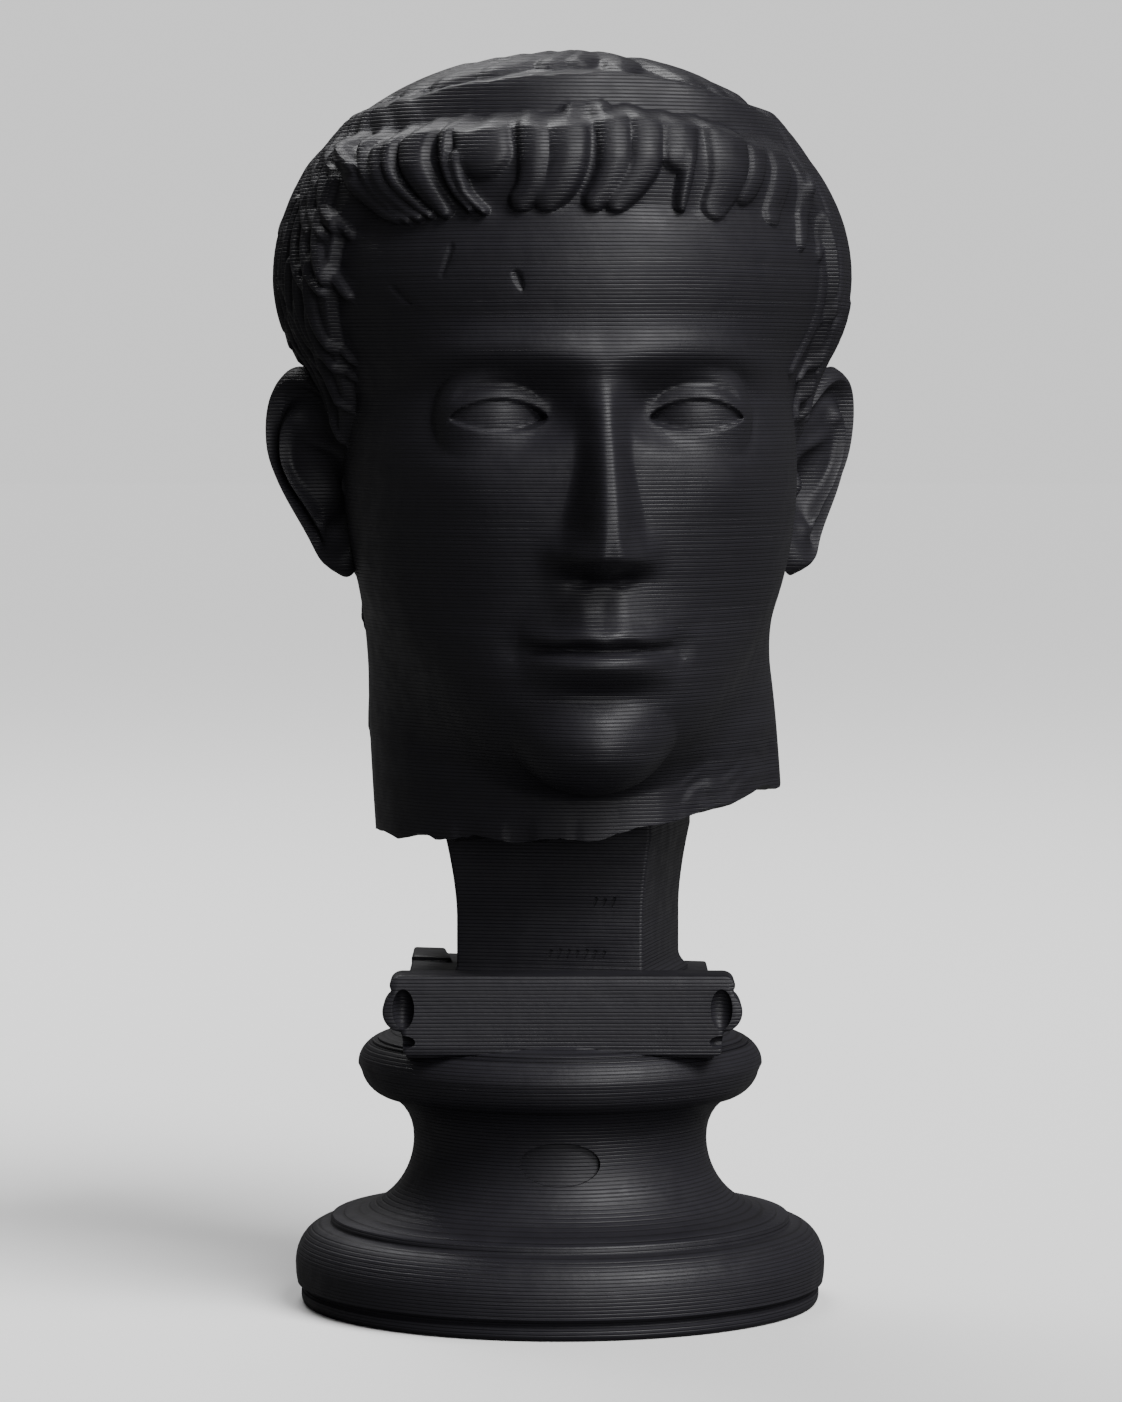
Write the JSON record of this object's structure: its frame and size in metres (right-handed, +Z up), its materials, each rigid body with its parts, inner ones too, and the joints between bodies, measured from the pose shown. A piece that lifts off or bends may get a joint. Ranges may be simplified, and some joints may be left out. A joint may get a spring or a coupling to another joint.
{
  "type": "portrait head desk bust",
  "caption": "Printed desk copy of a Roman marble portrait head with a cut neck, on a square pillar, tablet and turned round socle.",
  "frame": {"origin": "centre of the socle's flat underside", "axes": "+Z up through the socle, -Y out of the tablet's front, which is the side the face looks to, +X to the figure's left"},
  "size_m": [0.0658, 0.0779, 0.1394],
  "materials": {
    "black_pla": "matte black printed plastic with fine level layer lines"
  },
  "bodies": {
    "root": {"emperor_bust": "black_pla"}
  },
  "joints": []
}
